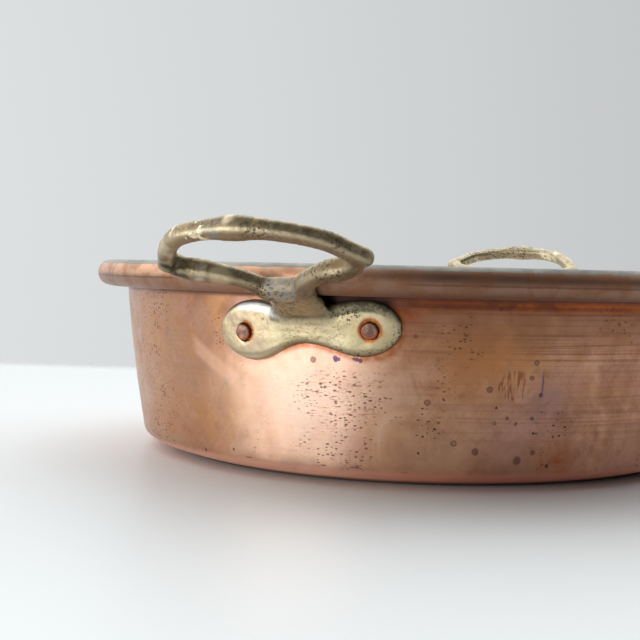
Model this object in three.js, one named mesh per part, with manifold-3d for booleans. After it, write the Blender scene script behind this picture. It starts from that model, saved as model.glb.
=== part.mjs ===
// Two-handled copper pan: a tin-lined shell with a wired rim and two riveted cast brass loop handles.
// Millimetres, +Z up. The origin is the centre of the flat base, and the handles point to -Y and +Y.
import * as THREE from 'three';
import { mergeVertices } from 'three/addons/utils/BufferGeometryUtils.js';
import Module from 'manifold-3d';

const wasm = await Module();
wasm.setup();

// Shell of spun copper sheet
const panHeight = 83.6; // base to the top of the rim
const wallTopDiameter = 272.8; // outside, just under the rim
const wallFlare = 6.2; // how much each side widens from the corner to the rim
const wallBow = 0.4; // how far the wall swells out from a straight cone
const cornerRadius = 21; // outside, between base and wall
const sheetThickness = 1.6;

// Rim rolled outwards over an iron wire
const wireDiameter = 7.6;
const rimOverhang = 13.6; // the rim's outermost point beyond the wall under it
const rollTurn = 320; // degrees of sheet round the wire, which leaves an open seam at the wall

// Cast brass handle, its plate wrapped on the wall
const plateLength = 73; // along the wall
const lobeHeight = 21.4; // full height of each rounded lobe
const waistBelow = 5.4; // middle of the plate down to its edge between the lobes
const waistAbove = 8; // middle of the plate up to its edge behind the neck
const lobeSpacing = 43; // between the highest places of the lobes
const plateThickness = 3.2;
const plateShoulder = 2.6; // radius that rounds the plate's front edge
const plateDrop = 24.4; // rim's top down to the middle of the plate
const plateLean = 2.8; // degrees, because the plate was set on by hand and by eye

// Loop that the hand takes
const loopSpan = 81.4; // between the tips of the two ears
const loopReach = 38.3; // middle of the bar at the root to its middle at the crown
const loopTilt = 22; // degrees up from level at the root
const crownLift = 3.8; // how far the crown stands above the straight tilt, because the loop curls up
const loopLean = 1.6; // degrees, as the casting came out against its plate
const rootDrop = 8.7; // rim's top down to the middle of the root
const rootWidth = 9;
const rootThickness = 6.2;
const rootLength = 12.5; // along the bar from the root to where it has slimmed
const armWidth = 6.6;
const armThickness = 6.7;
const barWidth = 6.6;
const barThickness = 6.5;
const barSquareness = 3.4; // 2 is an oval section, and more is squarer
const crownSwell = 1.7; // how much thicker the knuckle at the crown is than the bar
const crownLength = 7; // from that knuckle's middle to where its swell has mostly gone
const elbowAlong = 31; // from the root to the middle of an elbow's knuckle, along the arm
const elbowSwell = 1.6;
const elbowLength = 5.5;

// Neck between the plate and the loop's root
const neckWidth = 20.6;
const neckFlare = 3; // extra width on each side where the neck runs into the plate
const neckUnder = 3; // middle of the plate up to where the neck's underside leaves it
const neckSquareness = 4;
const rimPassGap = 0.9; // between the handle and the rolled rim that it passes

// Iron rivets
const rivetDiameter = 5.4;
const rivetSpacing = 49.7; // between the two rivets of a handle, along the wall
const rivetDrop = 0.5; // middle of the plate down to the line of the rivets
const rivetProud = 1.2; // plain end beyond the plate's face
const rivetHeadDiameter = 13;
const rivetHeadHeight = 2;
const rivetEdge = 0.5; // worn edge of the plain end

// Fits
const seatGap = 0.3; // between faces that bear on each other
const holeGap = 0.3; // round a rivet in its hole

// Facets
const roundSteps = 64;
const rollStep = 22.5; // degrees
const cornerSteps = 5;
const flareSteps = 3;
const plateSteps = 30;
const stationSpacing = 3; // along the loop, between sections
const tipSteps = 4;
const neckSteps = 7;
const sectionSteps = 10;
const neckSectionSteps = 14;
const boreSteps = 12;
const wireSteps = 8;

// Sizes that follow from the ones above
const wallTopRadius = wallTopDiameter / 2;
const rimRadius = wallTopRadius + rimOverhang;
const rollRadius = wireDiameter / 2 + seatGap + sheetThickness;
const rollCentre = new THREE.Vector2(rimRadius - rollRadius, panHeight - rollRadius);
const wallTopHeight = panHeight - 2 * rollRadius;
const wallFootRadius = wallTopRadius - wallFlare;
const plateHeight = panHeight - plateDrop;
const rootRadius = rimRadius + rimPassGap + rootWidth / 2;
const rootHeight = panHeight - rootDrop;
const plateFace = wallRadius(plateHeight) + seatGap + plateThickness;
const facetInset = 1 - Math.cos(Math.PI / roundSteps);

const materials = {
  copper: { color: 0xb0714f, roughness: 0.34, metalness: 1 },
  brass: { color: 0xa8935c, roughness: 0.42, metalness: 1 },
  iron: { color: 0x5d4a43, roughness: 0.7, metalness: 0.8 },
};

const { degToRad, lerp, smoothstep } = THREE.MathUtils;

// Outside radius of the wall at a height
function wallRadius(height) {
  const up = (height - cornerRadius) / (wallTopHeight - cornerRadius);
  return wallFootRadius + wallFlare * up + 4 * wallBow * up * (1 - up);
}

// Angle of the wall from upright at a height
function wallSlope(height) {
  return Math.atan(wallRadius(height + 0.5) - wallRadius(height - 0.5));
}

// Closed mesh without seams, normals or collapsed triangles, its faces turned outwards
function weld(geometry) {
  const bare = geometry.clone();
  bare.deleteAttribute('normal');
  bare.deleteAttribute('uv');
  const merged = mergeVertices(bare, 1e-4);
  const place = merged.attributes.position;
  const corner = [new THREE.Vector3(), new THREE.Vector3(), new THREE.Vector3()];
  const kept = [];
  let volume = 0;
  for (let i = 0; i < merged.index.count; i += 3) {
    const [a, b, c] = [0, 1, 2].map((k) => merged.index.getX(i + k));
    if (a === b || b === c || c === a) continue;
    kept.push(a, b, c);
    [a, b, c].forEach((v, k) => corner[k].fromBufferAttribute(place, v));
    volume += corner[0].dot(corner[1].cross(corner[2]));
  }
  if (volume < 0) kept.reverse();
  merged.setIndex(kept);
  return merged;
}

function toSolid(geometry) {
  const mesh = weld(geometry);
  const vertProperties = new Float32Array(mesh.attributes.position.array);
  const triVerts = new Uint32Array(mesh.index.array);
  return new wasm.Manifold(new wasm.Mesh({ numProp: 3, vertProperties, triVerts }));
}

function toGeometry(solid) {
  const mesh = solid.getMesh();
  const geometry = new THREE.BufferGeometry();
  geometry.setAttribute('position', new THREE.BufferAttribute(mesh.vertProperties, 3));
  geometry.setIndex(new THREE.BufferAttribute(mesh.triVerts, 1));
  geometry.computeVertexNormals();
  return geometry;
}

// Closed surface through rings of points, its two end rings filled
function loft(rings) {
  const around = rings[0].length;
  const last = (rings.length - 1) * around;
  const index = [];
  for (let ring = 0; ring < last; ring += around) {
    for (let j = 0; j < around; j++) {
      const k = (j + 1) % around;
      const [a, b, c, d] = [ring + j, ring + k, ring + around + k, ring + around + j];
      index.push(a, b, c, a, c, d);
    }
  }
  for (let j = 1; j < around - 1; j++) {
    index.push(0, j + 1, j);
    index.push(last, last + j, last + j + 1);
  }
  const geometry = new THREE.BufferGeometry().setFromPoints(rings.flat());
  geometry.setIndex(index);
  return geometry;
}

// Profile revolved about +Z
function revolve(profile, steps = roundSteps) {
  return new THREE.LatheGeometry(profile, steps).rotateX(Math.PI / 2);
}

// Points of an arc in a plane, from one angle in degrees to another
function arc(centre, radius, from, to, steps) {
  const points = [];
  for (let i = 0; i <= steps; i++) {
    const angle = degToRad(from + ((to - from) * i) / steps);
    const swing = new THREE.Vector2(Math.cos(angle), Math.sin(angle)).multiplyScalar(radius);
    points.push(swing.add(centre));
  }
  return points;
}

// Points round a superellipse, from an ellipse at squareness 2 towards a rectangle
function rounded(steps, width, height, squareness) {
  const power = 2 / squareness;
  return Array.from({ length: steps }, (_, i) => {
    const angle = (2 * Math.PI * (i + 0.5)) / steps;
    const c = Math.cos(angle);
    const s = Math.sin(angle);
    return [
      (width / 2) * Math.sign(c) * Math.abs(c) ** power,
      (height / 2) * Math.sign(s) * Math.abs(s) ** power,
    ];
  });
}

// Middle line of the sheet: base, corner, wall, flare under the rim, and the roll round the wire
function sheetLine() {
  const half = sheetThickness / 2;
  const foot = wallRadius(cornerRadius);
  const cornerCentre = new THREE.Vector2(foot - cornerRadius, cornerRadius);
  const line = [new THREE.Vector2(0, half)];
  line.push(...arc(cornerCentre, cornerRadius - half, -90, 0, cornerSteps));
  const flareStart = wallTopHeight - sheetThickness;
  const middle = (cornerRadius + flareStart) / 2;
  line.push(new THREE.Vector2(wallRadius(middle) - half, middle));
  const rollLine = rollRadius - half;
  const start = new THREE.Vector2(wallRadius(flareStart) - half, flareStart);
  const end = new THREE.Vector2(rollCentre.x - rollLine, rollCentre.y);
  const pull = (end.y - start.y) / 2;
  const startPull = start.clone().add(new THREE.Vector2(Math.tan(wallSlope(flareStart)) * pull, pull));
  const endPull = end.clone().sub(new THREE.Vector2(0, pull));
  line.push(...new THREE.CubicBezierCurve(start, startPull, endPull, end).getPoints(flareSteps));
  const wholeSteps = Math.floor(rollTurn / rollStep);
  line.push(...arc(rollCentre, rollLine, 180, 180 - wholeSteps * rollStep, wholeSteps).slice(1));
  line.push(arc(rollCentre, rollLine, 180, 180 - rollTurn, 1)[1]);
  return line;
}

// Closed outline of a sheet that follows a line, half its thickness to each side
function sheetOutline(line) {
  const sides = line.map((point, i) => {
    const before = line[Math.max(i - 1, 0)];
    const after = line[Math.min(i + 1, line.length - 1)];
    const along = after.clone().sub(before).normalize();
    const across = new THREE.Vector2(along.y, -along.x).multiplyScalar(sheetThickness / 2);
    return [point.clone().add(across), point.clone().sub(across)];
  });
  sides[0].forEach((point) => (point.x = 0));
  const outside = sides.map(([outer]) => outer);
  const inside = sides.map(([, inner]) => inner).reverse();
  return [...outside, ...inside];
}

// Rivet about its own +Z, which points out of the pan, with z = 0 on the wall's outside
function rivetProfile(height) {
  const innerWall = wallRadius(height) - sheetThickness;
  const headRadius = rivetHeadDiameter / 2;
  const wallSag = innerWall - Math.sqrt(innerWall ** 2 - headRadius ** 2) + innerWall * facetInset;
  const underHead = -(sheetThickness + wallSag + seatGap);
  const end = seatGap + plateThickness + rivetProud;
  const shank = rivetDiameter / 2;
  const domed = new THREE.EllipseCurve(0, underHead, headRadius, rivetHeadHeight, -Math.PI / 2, 0);
  const profile = domed.getPoints(5);
  profile.push(new THREE.Vector2(shank, underHead));
  profile.push(new THREE.Vector2(shank, end - rivetEdge));
  profile.push(new THREE.Vector2(shank - rivetEdge, end));
  profile.push(new THREE.Vector2(0, end));
  return profile;
}

// Side and up from the plate's middle, turned by a lean in degrees
function leaned(side, up, lean) {
  const turned = new THREE.Vector2(side, up).rotateAround(new THREE.Vector2(), degToRad(lean));
  return [turned.x, plateHeight + turned.y];
}

// Place on the wall: side along it and up from the plate's middle, leaned, and out from it
function onWall(side, up, out) {
  const [along, height] = leaned(side, up, plateLean);
  const angle = along / wallRadius(plateHeight);
  const radius = wallRadius(height) + out;
  return new THREE.Vector3(radius * Math.sin(angle), -radius * Math.cos(angle), height);
}

// Turn that lays +Z on the wall's outward normal at a rivet, seen from a handle at -Y
function rivetPlace(side) {
  const foot = onWall(side, -rivetDrop, 0);
  const turn = Math.atan2(foot.x, -foot.y);
  const place = new THREE.Object3D();
  place.position.copy(foot);
  place.rotation.order = 'ZYX';
  place.rotation.z = turn;
  place.rotation.x = Math.PI / 2 + wallSlope(foot.z);
  place.updateMatrix();
  return place.matrix;
}

function rivetSides() {
  return [-rivetSpacing / 2, rivetSpacing / 2];
}

// Straight pins through wall and plate, which make the rivet holes
function rivetBores() {
  const radius = rivetDiameter / 2 + holeGap;
  const past = 2 * rivetHeadDiameter; // well past both faces
  const pin = new THREE.CylinderGeometry(radius, radius, past, boreSteps).rotateX(Math.PI / 2);
  return rivetSides().map((side) => toSolid(pin.clone().applyMatrix4(rivetPlace(side))));
}

// From the plate's middle to its edge, at a place along it, where the waist between the lobes is given
function plateEdge(side, waist) {
  const lobe = lobeSpacing / 2;
  const end = plateLength / 2;
  const away = Math.abs(side);
  const past = Math.min(1, Math.max(0, away - lobe) / (end - lobe));
  const round = (lobeHeight / 2) * Math.sqrt(1 - past ** 2);
  const rise = (1 - Math.cos((Math.PI * Math.min(away, lobe)) / lobe)) / 2;
  return away > lobe ? round : lerp(waist, lobeHeight / 2, rise);
}

// Places across the plate, as shares of the way from its middle to its edge
const plateAcross = [-1, -0.92, -0.76, -0.4, 0, 0.4, 0.76, 0.92, 1];
const plateTip = 0.05; // what is left of its half height at its two ends

// Two-lobed plate wrapped on the wall, with a rounded front edge
function plateSolid() {
  const end = plateLength / 2;
  const shoulder = Math.min(plateShoulder, 0.9 * plateThickness);
  const rings = [];
  for (let i = 0; i <= plateSteps; i++) {
    const side = -end * Math.cos((Math.PI * i) / plateSteps);
    const edge = (share) => Math.max(plateEdge(side, share > 0 ? waistAbove : waistBelow), plateTip);
    const front = plateAcross.map((share) => {
      const inset = Math.min((1 - Math.abs(share)) * edge(share), end - Math.abs(side));
      const lack = Math.max(0, 1 - inset / shoulder);
      const drop = shoulder * (1 - Math.sqrt(1 - lack ** 2));
      return onWall(side, share * edge(share), seatGap + plateThickness - drop);
    });
    const back = [1, 0.5, 0, -0.5, -1].map((share) => onWall(side, share * edge(share), seatGap));
    rings.push([...front, ...back]);
  }
  return toSolid(loft(rings));
}

// Height of the loop's middle surface at a distance out from its root
function loopRise(out) {
  return rootHeight + Math.tan(degToRad(loopTilt)) * out + crownLift * (out / loopReach) ** 2;
}

// Point of the loop's middle surface, with the loop's own lean
function onLoop(side, out) {
  const [x, z] = leaned(side, loopRise(out) - plateHeight, loopLean);
  return new THREE.Vector3(x, -(rootRadius + out), z);
}

// Middle line of the bow from ear to ear, as shares of half the loop's span and of its reach: the
// casting came out uneven, so its halves differ
const bowPlan = [
  [-0.91, 0.455],
  [-0.835, 0.585],
  [-0.75, 0.725],
  [-0.565, 0.9],
  [-0.28, 0.98],
  [0, 1],
  [0.27, 0.97],
  [0.55, 0.89],
  [0.745, 0.78],
  [0.88, 0.62],
  [1, 0.48],
];

// Middle line of the right arm, from the root over the elbow into the bow, as the same shares
const armPlan = [
  [0, 0],
  [0.19, 0.01],
  [0.29, 0.15],
  [0.45, 0.27],
  [0.58, 0.33],
  [0.7, 0.365],
  [0.8, 0.42],
  [0.87, 0.49],
  [0.88, 0.6],
];

// Middle line laid flat, with x across and y out from the root
function loopCurve(plan) {
  return new THREE.SplineCurve(
    plan.map(([side, out]) => new THREE.Vector2((side * loopSpan) / 2, out * loopReach)),
  );
}

// Extra thickness of a knuckle at a distance along the bar from its middle
function knuckle(distance, swell, length) {
  return swell * Math.exp(-((distance / length) ** 2));
}

// Width and thickness of the bow at a distance along it from the crown
function bowSize(fromCrown) {
  const swell = knuckle(fromCrown, crownSwell, crownLength);
  return [barWidth + swell, barThickness + swell];
}

// Width and thickness of an arm at a distance along it from the root
function armSize(fromRoot) {
  const swell = knuckle(fromRoot - elbowAlong, elbowSwell, elbowLength);
  const root = Math.exp(-((fromRoot / rootLength) ** 4));
  const width = lerp(armWidth, rootWidth, root);
  const thickness = lerp(armThickness, rootThickness, root);
  return [width + swell, thickness + swell];
}

// Across and through the bar at a spot of the loop, square to the way it runs
function barAxes(spot, ahead) {
  const here = onLoop(spot.x, spot.y);
  const along = onLoop(spot.x + ahead.x, spot.y + ahead.y).sub(here).normalize();
  const outward = onLoop(spot.x, spot.y + 1).sub(here);
  const sideways = onLoop(spot.x + 1, spot.y).sub(here);
  const through = outward.cross(sideways).normalize();
  return [along.cross(through), through];
}

// Distances along a bar at which it has a section, close together where its ends are rounded
function barStations(length, round) {
  const tips = [];
  for (let i = 1; i <= tipSteps; i++) {
    tips.push(round * (1 - Math.cos((i * Math.PI) / (2 * tipSteps))));
  }
  const steps = Math.round((length - 2 * round) / stationSpacing);
  const between = [];
  for (let i = 1; i < steps; i++) {
    between.push(lerp(round, length - round, i / steps));
  }
  return [...tips, ...between, ...tips.map((distance) => length - distance).reverse()];
}

// Bar along a middle line, its two ends rounded off
function barSolid(plan, sizeAt) {
  const curve = loopCurve(plan);
  const length = curve.getLength();
  const round = barWidth / 2;
  const rings = barStations(length, round).map((distance) => {
    const spot = curve.getPointAt(distance / length);
    const [across, through] = barAxes(spot, curve.getTangentAt(distance / length));
    const toTip = Math.min(distance, length - distance, round) / round;
    const [width, thickness] = sizeAt(Math.abs(distance - length / 2)).map(
      (size) => size * Math.sqrt(1 - (1 - toTip) ** 2),
    );
    return rounded(sectionSteps, width, thickness, barSquareness).map(([a, b]) =>
      onLoop(spot.x, spot.y).addScaledVector(across, a).addScaledVector(through, b),
    );
  });
  return toSolid(loft(rings));
}

// Loop: the bow, whose ends stand past the elbows as blunt ears, and the arms that carry it
function loopSolid() {
  const leftArm = armPlan.slice(1).map(([side, out]) => [-side, out]);
  const arms = [...leftArm.reverse(), ...armPlan];
  return barSolid(bowPlan, bowSize).add(barSolid(arms, armSize));
}

// Section of the neck at a turn from flat against the plate (0) to level (a right angle)
function neckRing(turn, radius) {
  const flat = Math.sin(turn);
  const under = lerp(plateHeight + neckUnder, rootHeight - rootThickness / 2, flat);
  const passed = smoothstep(radius, plateFace, rollCentre.x);
  const level = lerp(plateHeight + waistAbove, wallTopHeight - rimPassGap, passed);
  const climb = Math.max(0, radius - rollCentre.x) / (rootRadius - rollCentre.x);
  const over = lerp(level, rootHeight + rootThickness / 2, climb);
  const width = neckWidth + 2 * neckFlare * (1 - flat) ** 2;
  const middle = (over + under) / 2 - plateHeight;
  return rounded(neckSectionSteps, width, over - under, neckSquareness).map(([side, up]) => {
    const [x, z] = leaned(side, middle + up, lerp(plateLean, loopLean, flat));
    return new THREE.Vector3(x, -radius, z);
  });
}

// Neck: filleted out of the plate underneath, level under the rolled rim, then up to the loop's root
function neckSolid() {
  const rings = [neckRing(0, plateFace - plateThickness / 2)];
  for (let i = 0; i <= neckSteps; i++) {
    const turn = (i / neckSteps) * (Math.PI / 2);
    rings.push(neckRing(turn, lerp(plateFace, rootRadius, 1 - Math.cos(turn))));
  }
  return toSolid(loft(rings));
}

// Space that the rolled rim takes, with the gap that the handle leaves round it
function rimSpace() {
  return toSolid(revolve(arc(rollCentre, rollRadius + rimPassGap, 0, 360, 2 * sectionSteps)));
}

function handleGeometry() {
  const cast = plateSolid().add(neckSolid()).add(loopSolid());
  const passed = cast.subtract(rimSpace());
  return toGeometry(rivetBores().reduce((solid, bore) => solid.subtract(bore), passed));
}

function shellGeometry() {
  const halfTurn = new THREE.Matrix4().makeRotationZ(Math.PI).elements;
  const front = rivetBores();
  const back = front.map((bore) => bore.transform(halfTurn));
  const shell = toSolid(revolve(sheetOutline(sheetLine())));
  return toGeometry([...front, ...back].reduce((solid, bore) => solid.subtract(bore), shell));
}

function wireGeometry() {
  return weld(revolve(arc(rollCentre, wireDiameter / 2, 0, 360, wireSteps)));
}

function piece(name, geometry, finish) {
  const mesh = new THREE.Mesh(geometry, new THREE.MeshStandardMaterial(materials[finish]));
  mesh.name = name;
  return mesh;
}

// Handle with its two rivets, as it stands at -Y
function handleGroup(end) {
  const group = new THREE.Group();
  group.add(piece(`${end}_handle`, handleGeometry(), 'brass'));
  rivetSides().forEach((side) => {
    const where = side < 0 ? 'left' : 'right';
    const height = onWall(side, -rivetDrop, 0).z;
    const body = weld(revolve(rivetProfile(height), boreSteps));
    const rivet = piece(`${end}_${where}_rivet`, body, 'iron');
    rivet.applyMatrix4(rivetPlace(side));
    group.add(rivet);
  });
  return group;
}

const pan = new THREE.Group();
pan.add(piece('pan_shell', shellGeometry(), 'copper'));
pan.add(piece('rim_wire', wireGeometry(), 'iron'));
pan.add(handleGroup('front'));
const back = handleGroup('back');
back.rotation.z = Math.PI;
pan.add(back);

export default pan;
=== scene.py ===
"""Looks of the two-handled copper pan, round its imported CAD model. Metres, in the model's own frame."""
import math

import bpy
import numpy as np
from mathutils import Matrix, Vector, noise


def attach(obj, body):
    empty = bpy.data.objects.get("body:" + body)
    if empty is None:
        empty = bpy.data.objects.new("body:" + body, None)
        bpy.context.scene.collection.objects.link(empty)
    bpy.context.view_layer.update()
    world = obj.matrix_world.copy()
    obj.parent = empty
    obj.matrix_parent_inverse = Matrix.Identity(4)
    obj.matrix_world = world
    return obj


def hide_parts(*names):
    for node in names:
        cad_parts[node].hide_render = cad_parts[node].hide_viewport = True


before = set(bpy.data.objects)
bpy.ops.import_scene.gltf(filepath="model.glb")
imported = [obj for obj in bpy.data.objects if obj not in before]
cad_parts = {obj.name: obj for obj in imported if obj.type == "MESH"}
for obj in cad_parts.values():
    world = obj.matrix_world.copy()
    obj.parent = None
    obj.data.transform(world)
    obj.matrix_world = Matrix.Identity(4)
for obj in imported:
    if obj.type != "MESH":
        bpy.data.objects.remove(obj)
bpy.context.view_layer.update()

# Camera, as the photograph was taken: distances in metres from the pan's axis, angles in radians
camera_distance = 0.57224
camera_height = 0.0819
camera_yaw = -0.0832
camera_pitch = 0.043
camera_roll = 0.0239
camera_turn = 0.3157  # round the pan, from straight in front of the front handle
focal_pixels = 1211.4
image_pixels = 640
sensor_width = 36.0  # millimetres

# Shell of spun sheet, as the CAD solid has it
pan_height = 0.0836
wall_top_radius = 0.1364
wall_flare = 0.0062
wall_bow = 0.0004
corner_radius = 0.021
sheet = 0.0016
rim_radius = 0.15
roll_radius = 0.0057
roll_turn = 320
roll_centre = Vector((rim_radius - roll_radius, pan_height - roll_radius))
wall_top = pan_height - 2 * roll_radius
wall_foot_radius = wall_top_radius - wall_flare

# How the worn base turns up into the wall, along the middle of the sheet
base_spacing = 0.0109
base_flat = 0.1092
base_curve = 0.009
base_tilt = 28  # degrees
base_slope = 0.004
wall_start = 0.0088
wall_turn = 0.0038
wall_points = 22
shell_segments = 240

# Handle plate and rivets on the wall, as the CAD solids have them
plate_height = 0.0592
plate_lean = math.radians(2.8)
plate_end = 0.0365
plate_rounds = 0.7 * plate_end  # from here outwards the end of the plate is round
lobe_height = 0.0107
lobe_from_middle = 0.0215
waist_height = 0.0054
rivet_side = 0.02485
rivet_drop = 0.0005
rivet_radius = 0.0027
rivet_reach = 0.0047
rivet_end_radius = 0.0031
rivet_head_radius = 0.0065
rivet_head_height = 0.002
seat_gap = 0.0003

rivet_segments = 36

# Outer end of a rivet: how far back it is spread, how round its edge is worn, and how uneven it is
rivet_spread = 0.0018
rivet_worn = 0.0006
rivet_uneven = 0.001
rivet_wander = 0.00012
rivet_dents = 0.00015
rivet_waves = 700.0

# Wear of the wall and the rim: how far it strays, how fine it is, and where it starts and grows over
unworn_middle = 0.02
swell_depth = 0.00032
swell_waves = 22.0
ripple_depth = 0.00009
ripple_waves = 75.0
wall_wear_height = (0.001, 0.012)
rim_wear_depth = 0.00011
rim_wear_waves = 30.0
rim_wear_height = (0.066, 0.006)

# Skin of the castings: the size of its cells, its lumps, and how its hollows are found
casting_cell = 0.00048
casting_lumps = 0.00015
casting_waves = (110.0, 330.0)
hollow_rounds = 24
hollow_depth = 0.0012

# Taller left lobe and rough left elbow: where each starts along the wall and the width it grows over, and
# the radii where the plate ends and the loop begins
lobe_growth = 0.1
left_lobe = (-0.007, -0.012)
plate_end_radius = (0.142, -0.002)
elbow_lumps = 0.00035
elbow_waves = 420.0
left_elbow = (-0.02, -0.004)
loop_inner_radius = 0.155

# Lumps on the loop's left elbow: place, reach and height
knuckles = [(-0.0335, -0.1735, 0.0845, 0.0045, 0.0009), (-0.0365, -0.1765, 0.079, 0.004, 0.0006)]

# Metal that fills the corner under the neck: half its width and how far that fades, how squarely a face
# has to look into the corner, and radius plus height with the depth there
neck_width = (0.0135, -0.008)
neck_facing = (-0.1, 0.5)
neck_fill = (
    [0.1965, 0.2, 0.2035, 0.207, 0.211, 0.219, 0.2245, 0.2285, 0.2315, 0.2345],
    [0, 0.0004, 0.0015, 0.0028, 0.0033, 0.0031, 0.0024, 0.0016, 0.0007, 0],
)


class Value:
    """A number on a node's socket. Arithmetic on it adds Math nodes to its look."""

    def __init__(self, look, socket):
        self.look = look
        self.socket = socket

    def __add__(self, other):
        return self.look.math("ADD", self, other)

    __radd__ = __add__

    def __mul__(self, other):
        return self.look.math("MULTIPLY", self, other)

    __rmul__ = __mul__

    def __sub__(self, other):
        return self.look.math("SUBTRACT", self, other)

    def __rsub__(self, other):
        return self.look.math("SUBTRACT", other, self)

    def __pow__(self, other):
        return self.look.math("POWER", self, other)

    def __neg__(self):
        return self.look.math("MULTIPLY", self, -1.0)

    def __abs__(self):
        return self.look.math("ABSOLUTE", self)


class Look:
    """The nodes of a material or world, and its colour as far as it is laid."""

    def __init__(self, owner):
        owner.use_nodes = True
        self.owner = owner
        self.tree = owner.node_tree
        self.tree.nodes.clear()
        self.colour = (0, 0, 0, 1)

    def node(self, kind, settings, inputs, output=0):
        """Adds a node: its settings first, then the values or links of its sockets."""
        made = self.tree.nodes.new(kind)
        for name, value in settings.items():
            setattr(made, name, value)
        for name, value in inputs.items():
            if isinstance(value, Value):
                self.tree.links.new(value.socket, made.inputs[name])
            else:
                made.inputs[name].default_value = value
        return Value(self, made.outputs[output]) if made.outputs else None

    def math(self, operation, first, second=0.0):
        return self.node("ShaderNodeMath", {"operation": operation}, {0: first, 1: second})

    def most(self, first, second):
        return self.math("MAXIMUM", first, second)

    def blend(self, share, first, second):
        """From the first colour at share 0 to the second at share 1."""
        return self.node("ShaderNodeMix", {"data_type": "RGBA"}, {0: share, 6: first, 7: second}, 2)

    def over(self, share, colour):
        """Lays a colour over the look's colour so far."""
        self.colour = self.blend(share, self.colour, colour)

    def rise(self, value, low, high):
        """Smooth step from 0 to 1 of a value between two bounds, or from 1 to 0 if they run backwards."""
        if low > high:
            return 1 - self.rise(value, high, low)
        settings = {"interpolation_type": "SMOOTHSTEP"}
        inputs = {"Value": value, "From Min": low, "From Max": high}
        return self.node("ShaderNodeMapRange", settings, inputs)

    def painted(self, name):
        """A value that the mesh carries at its vertices."""
        return self.node("ShaderNodeAttribute", {"attribute_name": name}, {}, "Fac")

    def by_camera(self):
        """1 where the camera itself looks, and 0 for any other light."""
        return self.node("ShaderNodeLightPath", {}, {}, "Is Camera Ray")

    def place(self):
        return self.node("ShaderNodeTexCoord", {}, {}, "Object")

    def parts(self, vector):
        return [self.node("ShaderNodeSeparateXYZ", {}, {0: vector}, axis) for axis in "XYZ"]

    def vector(self, x, y, z):
        return self.node("ShaderNodeCombineXYZ", {}, {0: x, 1: y, 2: z})

    def vector_math(self, operation, first, second, output="Vector"):
        settings = {"operation": operation}
        return self.node("ShaderNodeVectorMath", settings, {0: first, 1: second}, output)

    def distance(self, vector, spot):
        return self.vector_math("DISTANCE", vector, spot, "Value")

    def dot(self, vector, direction):
        return self.vector_math("DOT_PRODUCT", vector, direction, "Value")

    def stretched(self, vector, x, y, z):
        """A place with each of its axes scaled, so that a pattern on it is drawn out."""
        return self.vector_math("MULTIPLY", vector, (x, y, z))

    def mottle(self, vector, per_metre, detail=3.0, roughness=0.5, distortion=0.0):
        """Noise between 0 and 1, with about so many patches in a metre."""
        inputs = {"Vector": vector, "Scale": per_metre, "Detail": detail}
        inputs.update({"Roughness": roughness, "Distortion": distortion})
        return self.node("ShaderNodeTexNoise", {}, inputs, "Fac")

    def drawn(self, vector, across, up, detail, roughness=0.5):
        """Noise with so many patches in a metre across the wall, and so many up it."""
        return self.mottle(self.stretched(vector, across, across, up), 1.0, detail, roughness)

    def cells(self, vector, per_metre):
        """Distance to the nearest of scattered points, and that point's own chance from 0 to 1."""
        inputs = {"Vector": vector, "Scale": per_metre}
        near = self.node("ShaderNodeTexVoronoi", {}, inputs, "Distance")
        lot = self.node("ShaderNodeTexVoronoi", {}, inputs, "Color")
        return near, self.node("ShaderNodeSeparateColor", {}, {0: lot}, "Red")

    def spots(self, vector, per_metre, share, radius, edge):
        """Spots on a share of scattered points, their radius and soft edge as shares of the spacing."""
        near, lot = self.cells(vector, per_metre)
        size = self.rise(lot, 1.0 - share, 1.0) * radius
        return self.rise(size - near, 0.0, edge)

    def scratches(self, vector, lean, per_metre=1500.0, along_metre=70.0):
        """Sparse hairlines on upright faces, leaned from upright by an angle in degrees."""
        angle = math.radians(lean)
        across = self.dot(vector, (math.cos(angle), 0.3, math.sin(angle))) * per_metre
        along = self.dot(vector, (-math.sin(angle), 0.0, math.cos(angle))) * along_metre
        return self.rise(self.mottle(self.vector(across, along, 0.0), 1.0, 1.0), 0.6, 0.72)

    def relief(self, height):
        """Bump from a height in metres."""
        inputs = {"Height": height, "Distance": 1.0, "Strength": 1.0}
        return self.node("ShaderNodeBump", {}, inputs, "Normal")

    def finish(self, inputs):
        """Ends the look in its shader, which takes its colour and the inputs given."""
        shader = self.node("ShaderNodeBsdfPrincipled", {}, {"Base Color": self.colour, **inputs}, "BSDF")
        self.node("ShaderNodeOutputMaterial", {}, {"Surface": shader})
        return self.owner


def leaned(side, up):
    """Place on the wall: along it and height, from side and up as the plate leans."""
    along = side * math.cos(plate_lean) - up * math.sin(plate_lean)
    return along, plate_height + side * math.sin(plate_lean) + up * math.cos(plate_lean)


def wall_radius(height):
    """Outside radius of the wall at a height."""
    up = (height - corner_radius) / (wall_top - corner_radius)
    return wall_foot_radius + wall_flare * up + 4 * wall_bow * up * (1 - up)


def wall_slope(height):
    """Angle of the wall from upright at a height."""
    step = 0.0005
    return math.atan((wall_radius(height + step) - wall_radius(height - step)) / (2 * step))


plate_radius = wall_radius(plate_height)


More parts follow.
